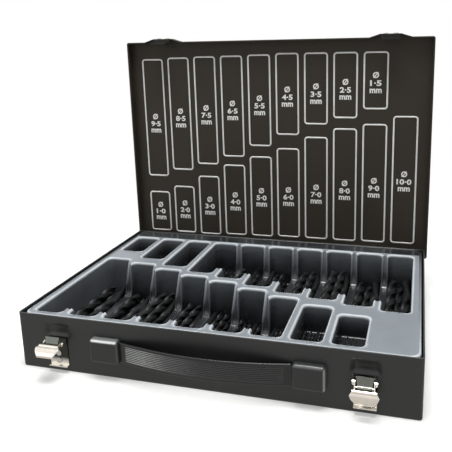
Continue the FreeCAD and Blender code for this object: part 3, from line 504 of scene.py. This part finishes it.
def makeTray(t):
    # a thin skin: each pocket is a stack of outlines, rolled over at its mouth, drafted down its walls and
    # rounded at its floor, and a flat deck with a rolled rim joins the mouths
    pitch = t["pocket"] + t["ridge"]
    points, paintedValues, quads, caps, deckLoops = [], [], [], [], []
    total = 0
    roll = [(1 - math.sin(a), 1 - math.cos(a)) for a in np.linspace(0, math.pi / 2, len(t["rollPaintedLight"]))]

    def add(rings, paintedLevels):
        nonlocal total
        points.extend(rings)
        paintedValues.extend(np.full(len(r), 1.0) * s for r, s in zip(rings, paintedLevels))
        first, total = total, total + sum(len(r) for r in rings)
        return first

    rows = [(t["frontLengths"], t["frontRises"], t["frontNotches"], True),
            (t["backLengths"], t["backRises"], t["backNotches"], False)]
    for lengths, rises, notched, isFront in rows:
        spans = [(t["frontRow"], t["frontRow"] + n) if isFront else (t["backRow"] - n, t["backRow"])
                 for n in lengths]
        ridges = []
        for index in range(len(lengths) - 1):
            shorter = min(lengths[index], lengths[index + 1])
            front = t["frontRow"] if isFront else t["backRow"] - shorter
            back = front + shorter
            notch = (front + t["frontFin" if isFront else "backFin"], back - t["backLand"])
            ridges.append((front, back, notch if index in notched else None))
        for index, (front, back) in enumerate(spans):
            left = t["firstColumn"] + pitch * index
            right = left + t["pocket"]
            sides = []
            for which in (index - 1, index):
                start, end, notch = ridges[which] if 0 <= which < len(ridges) else (front, back, None)
                places = ridgeSamples(t, start, end, notch)
                low, high = front + t["margin"], back - t["margin"]
                first, last = t["spacingEnds"]
                if end < back - t["least"]:
                    places = np.append(places, np.arange(end + first, high - last, t["spacing"]))
                if start > front + t["least"]:
                    places = np.append(np.arange(start - first, low + last, -t["spacing"])[::-1], places)
                if places[-1] < high - t["least"]:
                    places = np.append(places, high)
                if places[0] > low + t["least"]:
                    places = np.insert(places, 0, low)
                sides.append((places, notch))
            (leftSide, leftNotch), (rightSide, rightNotch) = sides
            shape = (left, right, front, back, leftSide, rightSide)
            base = pocketLoop(t, shape, 0.0, t["cornerFloor"])
            nearLeft = base[:, 0] < left + t["sideReach"]
            nearRight = base[:, 0] > right - t["sideReach"]
            crest = np.full(len(base), t["top"])
            crest[nearLeft] = ridgeHeight(t, leftNotch, base[nearLeft, 1])
            crest[nearRight] = ridgeHeight(t, rightNotch, base[nearRight, 1])
            floor = t["floor"] + rises[index]
            share = (crest - floor) / (t["top"] - floor)
            loops = [(t["draft"] * share + t["edge"] * aside, crest - t["edge"] * down, t["cornerTop"])
                     for aside, down in roll]
            rim = crest - t["edge"]
            foot = floor + t["floorFillet"]
            for part in t["wallParts"]:
                z = rim + (foot - rim) * part
                high = (z - floor) / (t["top"] - floor)
                corner = t["cornerTop"] + (t["cornerFloor"] - t["cornerTop"]) * part
                loops.append((t["draft"] * high, z, corner))
            for angle in np.linspace(0, math.pi / 2, t["filletSteps"]):
                inset = t["floorFillet"] * (1 - math.cos(angle))
                z = np.full(len(base), foot - t["floorFillet"] * math.sin(angle))
                loops.append((-inset, z, t["cornerFloor"] - t["cornerShrink"] * inset))
            ring = [np.column_stack([pocketLoop(t, shape, out, corner), z]) for out, z, corner in loops]
            # a notched ridge is painted darker, as shade, where its crest sinks towards the saddle
            lowest, span, least, power = t["notchPaintedShade"]
            paintedShare = least + (1 - least) * np.clip((crest - t["saddle"] - lowest) / span, 0, 1) ** power
            # painted highlight on the rolled edge, painted shade down the walls, lighter walls in the open
            # pocket
            paintedLevels = t["rollPaintedLight"] + (t["openWallPaintedLight"] if isFront and index == 0 else t["wallPaintedLight"])
            paintedLevels = paintedLevels + [t["floorPaintedLight"]] * t["filletSteps"]
            start = add(ring, [s * paintedShare for s in paintedLevels])
            mouth = np.arange(len(base)) + start
            quads.append(gridFaces(len(loops), len(base), start, closedColumns=True))
            caps.append(mouth + (len(loops) - 1) * len(base))
            deckLoops.append(mouth)

    # the rim: a rounded outline whose edge rolls over and drops inside the case
    rimLoops = [(-t["rimEdge"] * aside, t["top"] - t["rimEdge"] * down) for aside, down in roll]
    rimLoops.append((0.0, t["top"] - t["rimDrop"]))
    ring = []
    for out, z in rimLoops:
        grow = out - t["rimCorner"]
        deep = t["halfDepth"] + grow
        outline = roundCorners(-t["left"] - grow, t["right"] + grow, -deep, deep, t["rimCorner"],
                               np.linspace(0, math.pi / 2, t["rimSteps"]))
        ring.append(np.column_stack([outline, np.full(len(outline), z)]))
    # a painted highlight on the rim's rolled edge, painted shade where it drops inside the case
    start = add(ring, t["rollPaintedLight"] + [t["paintedShadeLevel"]])
    count = len(ring[0])
    quads.append(gridFaces(len(rimLoops), count, start, closedColumns=True)[:, ::-1])
    outer = np.arange(count) + start

    # two lines across the deck, between which it turns from painted light to painted black shade towards the
    # back
    lines = []
    for y, paintedLight in zip(t["lidShadeFrom"], (t["rollPaintedLight"][0], t["paintedShadeLevel"])):
        across = np.linspace(-t["left"] + t["lineInset"], t["right"] - t["lineInset"], t["linePoints"])
        place = add([np.column_stack([across, 0 * across + y, 0 * across + t["top"]])], [paintedLight])
        lines.append(np.arange(len(across)) + place)

    # the deck: one sheet between the rim and the pockets' mouths
    every = np.concatenate(points)
    paintedValues = np.concatenate(paintedValues)
    atBack = np.isin(np.arange(len(every)), np.arange(start, start + count * len(rimLoops)))
    # the rim behind the line under the lid is painted black as shade too
    paintedValues[atBack & (every[:, 1] > t["lidShadeFrom"][1])] = t["paintedShadeLevel"]
    loopIds = [outer] + lines + deckLoops
    flat = np.concatenate(loopIds)
    plan = [Vector((float(x), float(y))) for x, y in every[flat, :2]]
    edges, at = [], 0
    for k, ids in enumerate(loopIds):
        n = len(ids)
        edges += [(at + i, at + (i + 1) % n) for i in range(n - (k in (1, 2)))]
        at += n
    owner = np.concatenate([np.full(len(ids), max(k - 2, 0)) for k, ids in enumerate(loopIds)])
    found = geometry.delaunay_2d_cdt(plan, edges, [], 1, 1e-6)
    source = np.array([origin[0] for origin in found[3]])
    triangles = source[np.array(found[2])]
    whose = owner[triangles]
    mouth = (whose[:, 0] == whose[:, 1]) & (whose[:, 1] == whose[:, 2]) & (whose[:, 0] > 0)
    triangles = flat[triangles[~mouth]]
    faces = [np.concatenate(quads)[:, ::-1], triangles] + [c[::-1][None, :] for c in caps]
    piece = makePiece("tray_skin", every, faces, "thermoformedStyrene", "case")
    addPaintedLight(piece, paintedValues)
    gauge = piece.modifiers.new("gauge", "SOLIDIFY")
    gauge.thickness = t["gauge"] * mm
    gauge.offset = -1
    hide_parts("tray_insert")


makeTray(tray)
print("tray made")


drills = {
    "floor": 2.48,  # the lowest layer's underside in the deepest pockets
    "gap": 0.08,
    "sideGap": 0.25,
    "endGap": 1.5,
    "pointShare": 0.3,  # length of the point in diameters, and of the chamfer at the other end
    "chamfer": 0.04,
    "blunt": 0.12,  # radius that is left at the point
    "helix": 5.44,  # turn of the flutes in diameters, for a 30 degree helix
    "fluteShare": 0.66,  # share of the length that is fluted
    "fluteDepth": 0.66,  # share of the radius that the flutes take
    "fluteStart": (0.6, 0.8),  # plain shank before the flutes and their run-in, in diameters
    "flutePower": 0.7,  # how broad a flute's bottom is
    "sides": (12, 20),  # points round thin drills and thick ones
    "thick": 5,
    "turnRows": 12,
    "rowLimits": (14, 34),
    "spin": (2.4, 0.7),  # how much each drill lies turned against the last one and the last pocket's
    "shifts": [0.5, 0.1, 0.8, 0.3, 1.0, 0.6, 0.0, 0.9, 0.4, 0.7],
    # lengths of the jobber drills, ten of each up to 8 mm and five above
    "front": {"9_5": 125, "8_5": 117, "7_5": 109, "6_5": 101, "5_5": 93, "4_5": 80, "3_5": 70, "2_5": 57,
              "1_5": 40},
    "back": {"1_0": 34, "2_0": 49, "3_0": 61, "4_0": 75, "5_0": 86, "6_0": 93, "7_0": 109, "8_0": 117,
             "9_0": 125, "10_0": 133},
    "counts": (10, 5),
    "fewerAbove": 8,
}


def drillSurface(d, diameter, length):
    # a twist drill along +Y: its radius is the shank's, less two grooves whose depth follows the cosine of
    # twice the angle round the axis, and the grid turns with the helix; at the end it closes in a cone
    sides = d["sides"][diameter > d["thick"]]
    turns = length * d["fluteShare"] / (d["helix"] * diameter)
    rows = int(np.clip(turns * d["turnRows"], *d["rowLimits"]))
    point, chamfer = d["pointShare"] * diameter, d["chamfer"] * diameter
    fluteStart = length * (1 - d["fluteShare"])
    shank, runIn = d["fluteStart"]
    along = np.concatenate([[0, chamfer, fluteStart - shank * diameter],
                            np.linspace(fluteStart, length - point, rows)])
    radius = np.full(len(along), diameter / 2)
    radius[0] -= chamfer
    depth = d["fluteDepth"] * np.clip((along - fluteStart) / (runIn * diameter), 0, 1)
    turn = 2 * math.pi * (along - length) / (d["helix"] * diameter)
    around = np.arange(sides) * 2 * math.pi / sides
    groove = np.clip(np.cos(2 * around), 0, None) ** d["flutePower"]
    r = radius[:, None] * (1 - depth[:, None] * groove[None, :])
    phi = around[None, :] + turn[:, None]
    tip = np.linspace(1, d["blunt"], 3)[1:, None]
    r = np.concatenate([r, r[-1:] * tip])
    phi = np.concatenate([phi, np.repeat(phi[-1:], 2, 0)])
    y = np.concatenate([along, length - point * tip[:, 0]])
    grid = np.stack([r * np.cos(phi), np.repeat(y[:, None], sides, 1), -r * np.sin(phi)], -1).reshape(-1, 3)
    return grid, closedTube(len(y), sides)


def makeDrills(d, t):
    # each pocket's drills lie in layers that nest in the gaps of the layer below, every third one the other
    # way round, and each is pushed along the pocket by its own share of the slack
    pitch = t["pocket"] + t["ridge"]
    rows = [(d["front"], t["frontLengths"], t["frontRises"], True),
            (d["back"], t["backLengths"], t["backRises"], False)]
    for sizes, rooms, rises, isFront in rows:
        for index, ((name, length), room, rise) in enumerate(zip(sizes.items(), rooms, rises)):
            diameter = float(name.replace("_", "."))
            count = d["counts"][diameter > d["fewerAbove"]]
            grid, tube = drillSurface(d, diameter, length)
            step = diameter + d["gap"]
            perLayer = int((t["pocket"] - d["gap"]) // step)
            left = t["firstColumn"] + pitch * index + d["sideGap"] + diameter / 2
            spread = (t["pocket"] - 2 * d["sideGap"] - diameter) / (perLayer - 1)
            nest = math.sqrt(max(step ** 2 - (spread / 2) ** 2, 0))
            heights = [0, nest]
            front = t["frontRow"] if isFront else t["backRow"] - room
            slack = room - length - 2 * d["endGap"]
            points, layer, placed = [], 0, 0
            while placed < count:
                shifted = layer % 2
                z = d["floor"] + rise + diameter / 2 + heights[layer]
                for place in range(min(perLayer - shifted, count - placed)):
                    x = left + spread / 2 * shifted + spread * place
                    y = front + d["endGap"] + slack * d["shifts"][placed % len(d["shifts"])]
                    spin = d["spin"][0] * placed + d["spin"][1] * index
                    turned = np.column_stack([
                        grid[:, 0] * math.cos(spin) + grid[:, 2] * math.sin(spin), grid[:, 1],
                        grid[:, 2] * math.cos(spin) - grid[:, 0] * math.sin(spin)])
                    if placed % 3 == 1:
                        turned = turned * (-1, -1, 1) + (0, length, 0)
                    points.append(turned + (x, y, z))
                    placed += 1
                heights.append(max(heights[-1] + nest, heights[-2] + step))
                layer += 1
            faces = [np.concatenate([part + k * len(grid) for k in range(count)]) for part in tube]
            pile = makePiece("twist_drills_" + name, np.concatenate(points), faces, "blackOxideSteel",
                             "case", sharpAngle=50)
            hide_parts("drills_" + name)


makeDrills(drills, tray)
print("drills made")


strap = {
    "wall": -118.4,
    "startOut": 1.3,
    "thickness": 2.0,
    "sagitta": 8.8,
    "low": 17.3,
    "high": 36.2,
    "neckX": 74.4,
    "tabX": 77.3,
    "endX": 92.0,
    "neckStep": 2.0,
    "ribs": 9,
    "ribDepth": 0.8,
    "crestSunk": 0.35,  # share of the depth by which the ribs' crests lie below the border
    "border": 2.2,  # plain margin round the ribbed panel
    "panelEnd": 68.5,
    "panelSlopes": (0.35, 0.6),  # widths of the steps into the panel, at its sides and at its ends
    "edge": 0.7,
    "step": 0.02,  # between two lines that hold a sharp step
    "points": (161, 91),  # along the bow and across the outer face
    "innerShare": 6,  # one point on the inner face for so many on the outer one
    "paintedSheenFade": [-68, -50, -28, 0],  # places along the strap and the painted highlight on its ribs' crests there
    "paintedSheen": [0.6, 0.7, 0.2, 0.02],
}


def makeStrap(s):
    # a bowed strip: y follows a circle whose rise is the sagitta, and its outer face is sunk between a
    # raised border and nine ribs, whose depth follows a raised cosine across the strip
    bow = np.linspace(-s["neckX"], s["neckX"], s["points"][0])
    side = np.array([s["neckX"] + s["step"], s["tabX"] - s["step"], s["tabX"], s["endX"]])
    x = np.concatenate([-side[::-1], bow, side])
    circle = (s["neckX"] ** 2 + s["sagitta"] ** 2) / (2 * s["sagitta"])
    out = np.sqrt(circle ** 2 - np.minimum(abs(x), s["neckX"]) ** 2) - circle + s["sagitta"]
    neck = (abs(x) > s["neckX"] + s["step"] / 2) & (abs(x) < s["tabX"] - s["step"] / 2)
    middle = (s["low"] + s["high"]) / 2
    half = (s["high"] - s["low"]) / 2 - s["neckStep"] * neck
    across = np.linspace(-1, 1, s["points"][1])
    turn = np.linspace(0, math.pi / 2, 5)
    e = s["edge"]
    # the section as v across (-1 to 1 with the edge radius apart) and w outwards from the inner face
    inner, one, rise, run = across[::s["innerShare"]], 1 + 0 * turn, e * np.sin(turn), e * np.cos(turn)
    v = [across, one, one, -inner, -one, -one]
    dv = [0 * across, rise - e, run - e, 0 * inner, e - rise, e - run]
    w = [s["thickness"] + 0 * across, s["thickness"] - e + run, e - rise, 0 * inner, e - run,
         s["thickness"] - e + rise]
    v, dv, w = (np.concatenate(part) for part in (v, dv, w))
    flat = np.arange(len(v)) < len(across)
    wide = half[:, None]
    z = middle + np.where(flat, v * (wide - e), v * wide + dv)
    panel = (s["high"] - s["low"]) / 2 - s["border"]
    offset = z - middle
    inside = np.clip((panel - abs(offset)) / s["panelSlopes"][0], 0, 1)
    inside = inside * np.clip((s["panelEnd"] - abs(x)) / s["panelSlopes"][1], 0, 1)[:, None]
    ribs = 0.5 + 0.5 * np.cos(2 * math.pi * s["ribs"] * (offset + panel) / (2 * panel))
    sink = s["ribDepth"] * inside * (s["crestSunk"] + (1 - s["crestSunk"]) * ribs) * flat
    y = s["wall"] - s["startOut"] - out[:, None] - w + sink
    points = np.stack([np.repeat(x[:, None], len(v), 1), y, z], -1).reshape(-1, 3)
    faces = [f[:, ::-1] for f in closedTube(len(x), len(v))]
    piece = makePiece("strap_moulded", points, faces, "rubbedStrapPlastic", "handle",
                      sharpAngle=60)
    # a painted highlight on the ribs' crests, strongest towards the strap's left end
    fade = np.interp(x, s["paintedSheenFade"], s["paintedSheen"])[:, None]
    addPaintedLight(piece, ((1 - ribs) ** 2 * inside * flat * fade).ravel())
    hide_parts("handle_strap")


makeStrap(strap)
print("strap made")


chart = {
    "plane": 132.1,  # the lid's inner face
    "proud": 0.08,  # the ink's thickness, and how far it reaches into the sheet
    "sunk": 0.1,
    "pitch": 33.4,
    "width": 25.6,
    "first": -163.3,
    "corner": 3.0,
    "cornerSteps": 7,
    "stroke": 1.8,
    # size, lower and upper end of its outline and height of its number, measured up the open lid
    "top": [("9.5", 121.9, 265.1, 187.2), ("8.5", 130.8, 266.6, 194.2),
            ("7.5", 139.0, 267.5, 198.4), ("6.5", 149.4, 267.9, 204.0),
            ("5.5", 163.2, 268.7, 210.3), ("4.5", 177.3, 269.9, 220.5),
            ("3.5", 190.2, 269.9, 224.0), ("2.5", 197.8, 269.9, 228.9),
            ("1.5", 208.2, 269.9, 236.3)],
    "bottom": [("1.0", 50.2, 100.3, 74.9), ("2.0", 49.7, 108.4, 78.4),
               ("3.0", 49.2, 122.6, 84.8), ("4.0", 50.6, 137.9, 92.1),
               ("5.0", 51.0, 149.1, 98.9), ("6.0", 52.2, 159.9, 101.4),
               ("7.0", 52.2, 174.1, 106.1), ("8.0", 52.2, 184.6, 112.3),
               ("9.0", 53.0, 190.2, 116.8), ("10.0", 53.4, 199.5, 125.7)],
    "digitSize": (12.6, 6.4),  # printed width and height, and the width of 10.0
    "tenWidth": 16.6,
    "unitSize": (13.4, 5.0),
    "signSize": (6.8, 7.0),
    "signRise": 8.9,
    "unitDrop": 8.5,
    "weight": 0.036,  # how much the letters are fattened, in text sizes
}


def outlineRing(c, left, right, low, high):
    # a rounded rectangle's loop grown by half the stroke each way, at the front and in the sheet
    loops = []
    for grow, depth in ((0.5, c["sunk"]), (0.5, -c["proud"]), (-0.5, -c["proud"]), (-0.5, c["sunk"])):
        loop = roundCorners(left + c["corner"], right - c["corner"], low + c["corner"], high - c["corner"],
                            c["corner"] + grow * c["stroke"], np.linspace(0, math.pi / 2, c["cornerSteps"]))
        loops.append(np.insert(loop, 1, c["plane"] + depth, 1))
    return np.stack(loops, 0)


def letterMesh(c, words, size, x, z):
    # letters from the built-in typeface, made a mesh, then scaled to their printed size and moved
    curve = bpy.data.curves.new("letters", "FONT")
    curve.body = words
    curve.offset = c["weight"]
    curve.resolution_u = 3
    curve.extrude = 0.01
    holder = bpy.data.objects.new("letters", curve)
    mesh = bpy.data.meshes.new_from_object(holder)
    points = np.empty(len(mesh.vertices) * 3)
    mesh.vertices.foreach_get("co", points)
    points = points.reshape(-1, 3)
    low, high = points.min(0), points.max(0)
    u = (points[:, 0] - (low[0] + high[0]) / 2) * size[0] / (high[0] - low[0])
    v = (points[:, 1] - (low[1] + high[1]) / 2) * size[1] / (high[1] - low[1])
    depth = np.where(points[:, 2] > 0, -c["proud"], c["sunk"])
    placed = np.column_stack([x + u, c["plane"] + depth, z + v])
    faces = [list(p.vertices) for p in mesh.polygons]
    bpy.data.objects.remove(holder)
    bpy.data.curves.remove(curve)
    bpy.data.meshes.remove(mesh)
    return placed, faces


def makeChart(c):
    # an outline for each drill size with a diameter sign, the size and its unit in the middle
    rings, letters, letterFaces = [], [], []
    count = 0
    for entries in (c["top"], c["bottom"]):
        for index, (size, low, high, z) in enumerate(entries):
            left = c["first"] + c["pitch"] * index
            rings.append(outlineRing(c, left, left + c["width"], low, high))
            middle = left + c["width"] / 2
            digits = (c["tenWidth"] if size == "10.0" else c["digitSize"][0], c["digitSize"][1])
            number = size.replace(".", "\u00b7")
            for words, extent, lift in ((number, digits, 0), ("\u00d8", c["signSize"], c["signRise"]),
                                        ("mm", c["unitSize"], -c["unitDrop"])):
                points, faces = letterMesh(c, words, extent, middle, z + lift)
                letters.append(points)
                letterFaces += [[i + count for i in f] for f in faces]
                count += len(points)
    rows, around, _ = rings[0].shape
    ringFaces = [gridFaces(rows, around, k * rows * around, True, True) for k in range(len(rings))]
    bySize = {}
    for f in letterFaces:
        bySize.setdefault(len(f), []).append(f)
    for name, points, faces in (("printed_outlines", rings, [np.concatenate(ringFaces)]),
                                ("printed_sizes", letters, [np.array(f) for f in bySize.values()])):
        points = np.concatenate(points).reshape(-1, 3)
        makePiece(name, points, faces, "screenPrintInk", "lid", smooth=False)


makeChart(chart)
print("print made")


case = {
    "halfWidth": 175.0,
    "halfDepth": 118.4,
    "height": 52.0,
    "sheet": 0.8,
    "corner": 3.0,
    "foot": 1.2,  # radius of the bend into the bottom
    # how far beyond the bends the next lines lie: on the bottom, up the wall, below the rim, on the floor
    "nextLines": (0.8, 0.8, 0.4, 0.5),
    "lipRadius": 0.3,
    "hem": 0.6,  # thickness and height of the rim's fold on the inside
    "hemHeight": 5.0,
    "step": 0.02,  # between two lines that hold a sharp edge
    "flat": 0.6,  # between a bend and the lines next to it
    "dents": [-136.0, 132.0],  # middles of the pressed recesses above the latches
    "dentHeight": 39.0,
    "dentHalf": (13.5, 8.5),
    "dentSlope": (6.0, 6.5),
    "dentDepth": 2.6,
    "dentReach": 16,  # the fine lines' reach to each side of a recess's middle, and up the wall
    "dentRise": (28, 46.8),
    "dentLines": (27, 17),
    "plainLines": [-60, 0, 60],
}


def makeCase(c):
    # the pressed box: a profile of insets and heights swept round a rectangle with round corners, the front
    # sunk at each recess by its depth times a raised cosine in x and another in z
    turn = np.linspace(0, math.pi / 2, 6)
    heights = np.linspace(*c["dentRise"], c["dentLines"][1]).tolist()
    foot, lip, sheet, step = c["foot"], c["lipRadius"], c["sheet"], c["step"]
    bottomLine, wallLine, rimLine, floorLine = c["nextLines"]
    thick, top = sheet + c["hem"], c["height"]
    low = top - c["hemHeight"]
    profile = [(foot + bottomLine, 0.0)]
    profile += [(foot - foot * math.sin(a), foot - foot * math.cos(a)) for a in turn]
    profile += [(0.0, z) for z in [foot + wallLine, *heights, top - lip - rimLine]]
    profile += [(lip - lip * math.cos(a), top - lip + lip * math.sin(a)) for a in turn]
    profile += [(thick - lip + lip * math.sin(a), top - lip + lip * math.cos(a)) for a in turn]
    profile += [(thick, low), (thick - step, low - step), (sheet + step, low - step)]
    profile += [(sheet, z) for z in heights[::-1]]
    profile += [(sheet, sheet + step), (sheet + floorLine, sheet)]
    inset, z = (np.array(v) for v in zip(*profile))
    edge, deep, flat = c["halfWidth"] - c["corner"], c["halfDepth"] - c["corner"], c["flat"]
    fine = np.linspace(-c["dentReach"], c["dentReach"], c["dentLines"][0])
    left, right = c["dents"]
    front = [-edge + flat, *(left + fine), *c["plainLines"], *(right + fine), edge - flat]
    arc = np.linspace(0, math.pi / 2, 8)
    side = np.linspace(-deep + flat, deep - flat, 5)
    back = np.linspace(edge - flat, -edge + flat, 7)
    # each wall's points, then the corner after it: a place inside the outline and the way outwards there
    spots = []
    for x, y, nx, ny, wall in ((edge, -deep, 0, -1, front), (edge, deep, 1, 0, side),
                               (-edge, deep, 0, 1, back), (-edge, -deep, -1, 0, side[::-1])):
        spots += [(x if nx else place, y if ny else place, nx, ny) for place in wall]
        spots += [(x, y, nx * math.cos(a) - ny * math.sin(a), ny * math.cos(a) + nx * math.sin(a))
                  for a in arc]
    cx, cy, nx, ny = (np.array(v, float) for v in zip(*spots))
    radius = c["corner"] - inset[:, None]
    x = cx + nx * radius
    y = cy + ny * radius
    height = np.repeat(z[:, None], len(cx), 1)

    def ease(distance, half, slope):
        share = np.clip((half - abs(distance)) / slope, 0, 1)
        return 0.5 - 0.5 * np.cos(math.pi * share)
    onFront = (ny == -1) & (cy < 0)
    across = sum(ease(cx - m, c["dentHalf"][0], c["dentSlope"][0]) for m in c["dents"]) * onFront
    y = y + c["dentDepth"] * across * ease(height - c["dentHeight"], c["dentHalf"][1], c["dentSlope"][1])
    points = np.stack([x, y, height], -1).reshape(-1, 3)
    piece = makePiece("case_pressed", points, closedTube(len(z), len(cx)), "stovedEnamel", "case")
    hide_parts("base_shell")


makeCase(case)
print("case made")


cap = {
    "wall": -118.4,
    "inner": 75.0,
    "outer": 102.0,
    "low": 16.0,
    "high": 37.5,
    "reach": 6.4,
    "edge": 2.6,
    "corner": 3.0,
    "leastCorner": 0.2,
    "flat": (0.3, 0.4),  # between the rolled edge and the lines next to it on the side and on the face
    "sheenWidth": 0.3,
    "sheenAt": 0.6,  # where on the rolled edge the painted highlight is strongest, from the flat face out to the side
    "paintedSheen": {"left": (1.0, 0.06), "right": (0.1, 0.4)},  # painted highlight on the top edge and on the right edge
}


def makeCaps(c):
    # a handle cap: outlines of a rectangle with round corners, drawn in and lifted along a quarter circle,
    # so that the edge rolls over into the flat face
    turn = np.linspace(0, math.pi / 2, 9)
    edge, reach = c["edge"], c["reach"]
    profile = [(0.0, 0.0), (0.0, reach - edge - c["flat"][0])]
    profile += [(edge - edge * math.cos(a), reach - edge + edge * math.sin(a)) for a in turn]
    profile += [(edge + c["flat"][1], reach)]
    for name, sign in (("left", -1), ("right", 1)):
        rings, sheens = [], []
        for inset, out in profile:
            corner = max(c["corner"] - inset, c["leastCorner"])
            x0, x1 = sorted((sign * c["inner"], sign * c["outer"]))
            x0, x1 = x0 + inset + corner, x1 - inset - corner
            z0, z1 = c["low"] + inset + corner, c["high"] - inset - corner
            outline = []
            for k, (cx, cz) in enumerate(((x1, z1), (x0, z1), (x0, z0), (x1, z0))):
                a = turn + k * math.pi / 2
                outline.append(np.stack([cx + corner * np.cos(a), 0 * a + c["wall"] - out,
                                         cz + corner * np.sin(a)], -1))
                # a painted highlight along the rolled edge, on the top and on the right side
                rolled = math.exp(-((1 - inset / edge - c["sheenAt"]) / c["sheenWidth"]) ** 2)
                top = np.clip(np.sin(a), 0, 1) ** 4 * c["paintedSheen"][name][0]
                side = np.clip(np.cos(a), 0, 1) ** 4 * c["paintedSheen"][name][1]
                sheens.append(rolled * np.maximum(top, side))
            rings.append(np.concatenate(outline))
        piece = makePiece("cap_" + name + "_moulded", np.concatenate(rings),
                          closedTube(len(rings), len(rings[0])), "rubbedCapPlastic", "case")
        addPaintedLight(piece, np.concatenate(sheens))
        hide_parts("handle_cap_" + name)


makeCaps(cap)
print("handle caps made")


softening = {
    # the body and the width in millimetres of each piece's softened edges
    "latch_plate_left": ("case", 0.12), "latch_plate_right": ("case", 0.12),
    "latch_lever_left": ("lever_left", 0.18), "latch_lever_right": ("lever_right", 0.18),
    "latch_hook_left": ("hook_left", 0.15), "latch_hook_right": ("hook_right", 0.15),
    "lid_catch_left": ("lid", 0.15), "lid_catch_right": ("lid", 0.15),
}
weldDistance = 0.002  # millimetres
flatAngle, edgeAngle = 0.5, 35  # degrees


def makeSoftened(name, body, width):
    # a copy of the piece's mesh, welded and cleared of flat splits, whose sharp edges are rounded by width
    mesh = nodes[name].data.copy()
    work = bmesh.new()
    work.from_mesh(mesh)
    bmesh.ops.remove_doubles(work, verts=work.verts, dist=weldDistance * mm)
    bmesh.ops.dissolve_limit(work, angle_limit=math.radians(flatAngle), verts=work.verts, edges=work.edges)
    work.to_mesh(mesh)
    work.free()
    roundOff(mesh, edgeAngle)
    piece = addObject(name + "_softened", mesh, body)
    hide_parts(name)
    bevel = piece.modifiers.new("softEdges", "BEVEL")
    bevel.width = width * mm
    bevel.segments = 2
    bevel.limit_method = "ANGLE"
    bevel.angle_limit = math.radians(edgeAngle)
    bevel.harden_normals = True


for name, (body, width) in softening.items():
    makeSoftened(name, body, width)
print("softened pieces made")
